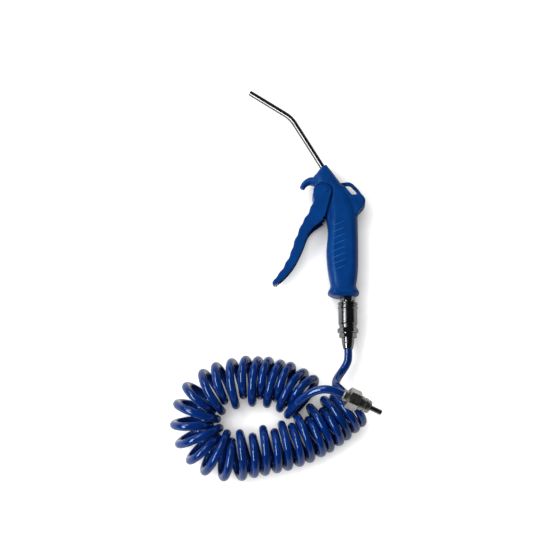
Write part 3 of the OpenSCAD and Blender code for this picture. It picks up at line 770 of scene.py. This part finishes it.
def lever_band():
    """The waved front face of the lever."""
    line, ways = edge_curve(LEVER_FRONT, BAND_STEPS)
    run = np.concatenate([[0], np.cumsum(np.linalg.norm(np.diff(line, axis=0), axis=1))])
    rings = []
    for at, way, distance in zip(line, ways, run):
        wave = WAVE_HEIGHT * math.sin(2 * math.pi * distance / WAVE_LENGTH)
        middle = LEVER_BAND_OUT - LEVER_BAND + wave
        half = lever_half_width(at[1])
        offsets = [(middle + LEVER_BAND * c, half * d) for c, d in section(BAND_SIDES, EDGE_POWER)]
        rings.append(ring_beside(at, way, offsets))
    return skin(rings)


def cheek_edges():
    """The back edges of the lever's two cheeks."""
    line, ways = edge_curve(LEVER_BACK, CHEEK_STEPS)
    depth, thick = CHEEK_DEPTH / 2, CHEEK_THICK / 2
    solids = []
    for side in (-1, 1):
        rings = []
        for at, way in zip(line, ways):
            middle = lever_half_width(at[1]) - thick
            offsets = [(depth * (1 + c), side * (middle + thick * d))
                       for c, d in section(CHEEK_SIDES, EDGE_POWER)]
            rings.append(ring_beside(at, way, offsets))
        solids.append(skin(rings))
    return solids


def lever_tip():
    """The round end of the lever."""
    x, y = LEVER_TIP
    half = lever_half_width(y) - LEVER_TIP_R
    rings = []
    for k in LEVER_TIP_RINGS:
        turn = math.radians(LEVER_TIP_STEP * k)
        level = math.copysign(half, k) + LEVER_TIP_R * math.sin(turn)
        radius = max(LEVER_TIP_LEAST, LEVER_TIP_R * math.cos(turn))
        rings.append([in_gun(x + radius * math.cos(w), y + radius * math.sin(w), level)
                      for w in angles_round(LEVER_TIP_SIDES)])
    return skin(rings)


def hook_form():
    """The finger hook, wider across the gun than it is high."""
    line = curve_through(HOOK, HOOK_STEPS)
    ways = np.gradient(np.array([p[:2] for p in line]), axis=0)
    rings = []
    for (x, y, half), way in zip(line, ways):
        across = half * HOOK_WIDTH
        offsets = [(-half * math.cos(w), across * math.sin(w)) for w in angles_round(HOOK_SIDES)]
        rings.append(ring_beside((x, y), unit(way), offsets))
    return skin(rings)


class KIT_OT_gun_body(bpy.types.Operator):
    """Adds the moulded grip and head of the blow gun, with the grip's ribs"""
    bl_idname = "kit.gun_body"
    bl_label = "Gun body"

    def execute(self, context):
        settings = context.scene.kit_gun
        extras = [plate(HEAD_PLATE, HEAD_PLATE_HALF, HEAD_PLATE_EDGE),
                  plate(SHOULDER, SHOULDER_HALF, SHOULDER_EDGE), hook_form(), grip_foot()]
        body = soft_copy("gun_body", "gun_moulding", settings.voxel, extras)
        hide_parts("gun_body")
        points, faces = joined(grip_ribs(settings.rib_count, settings.rib_height))
        ribs = add_mesh("grip_ribs", points, faces)
        dress(body, "gun")
        # The ribs take the paler blue of a painted highlight.
        dress(ribs, "ribs")
        for piece in (body, ribs):
            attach(piece, "gun")
        return {"FINISHED"}


class KIT_OT_lever(bpy.types.Operator):
    """Adds the channel-shaped lever of the blow gun"""
    bl_idname = "kit.lever"
    bl_label = "Lever"

    def execute(self, context):
        settings = context.scene.kit_gun
        extras = [lever_band(), *cheek_edges(), lever_tip()]
        lever = soft_copy("trigger_lever", "lever_moulding", settings.voxel, extras)
        dress(lever, "gun")
        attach(lever, "lever")
        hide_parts("trigger_lever")
        return {"FINISHED"}


# ---------------------------------------------------------------- turned pieces

NODE_FINISH = {
    # The coupler and nozzle take the darkened nickel, a painted shade; the plug fitting takes the
    # lighter copy, a painted highlight.
    "nickel": ("nozzle_tube", "gun_plug", "valve_stem", "coupler_body", "coupler_sleeve",
               "coupler_end", "coupler_nut"),
    "bright": ("tail_nut", "tail_adapter", "tail_body"),
    "steel": ("valve_spring", "sleeve_spring", "locking_balls", "retaining_ring",
              "coupler_valve_spring", "plug_nipple"),
    "brass": ("inlet_insert", "stem_gland", "valve_poppet", "nozzle_bush", "coupler_valve"),
    "rubber": ("stem_seal", "poppet_seal", "cap_seal", "nozzle_seal", "gun_plug_seal",
               "coupler_seal", "tail_washer"),
    "gun": ("lever_pin", "valve_cap"),
}


class KIT_OT_metalwork(bpy.types.Operator):
    """Gives the turned, sprung and sealing pieces their finishes"""
    bl_idname = "kit.metalwork"
    bl_label = "Metalwork"

    def execute(self, context):
        for key, names in NODE_FINISH.items():
            for name in names:
                dress_node(name, key)
        return {"FINISHED"}


# ---------------------------------------------------------------- panel and run

OPERATORS = (KIT_OT_stage, KIT_OT_hose, KIT_OT_gun_body, KIT_OT_lever, KIT_OT_metalwork)


class KIT_PT_panel(bpy.types.Panel):
    bl_idname = "KIT_PT_panel"
    bl_label = "Air hose kit"
    bl_space_type = "VIEW_3D"
    bl_region_type = "UI"
    bl_category = "Air hose"

    def draw(self, context):
        for operator in OPERATORS:
            self.layout.operator(operator.bl_idname)


SETTINGS = {"kit_hose": HoseSettings, "kit_gun": GunSettings, "kit_metal": MetalSettings,
            "kit_stage": StageSettings}


def register():
    for name, group in SETTINGS.items():
        bpy.utils.register_class(group)
        setattr(bpy.types.Scene, name, PointerProperty(type=group))
    for cls in (*OPERATORS, KIT_PT_panel):
        bpy.utils.register_class(cls)


def unregister():
    for cls in (KIT_PT_panel, *reversed(OPERATORS)):
        bpy.utils.unregister_class(cls)
    for name, group in SETTINGS.items():
        delattr(bpy.types.Scene, name)
        bpy.utils.unregister_class(group)


def main():
    register()
    bpy.ops.kit.stage()
    bpy.ops.kit.hose()
    bpy.ops.kit.gun_body()
    bpy.ops.kit.lever()
    bpy.ops.kit.metalwork()


if __name__ == "__main__":
    main()
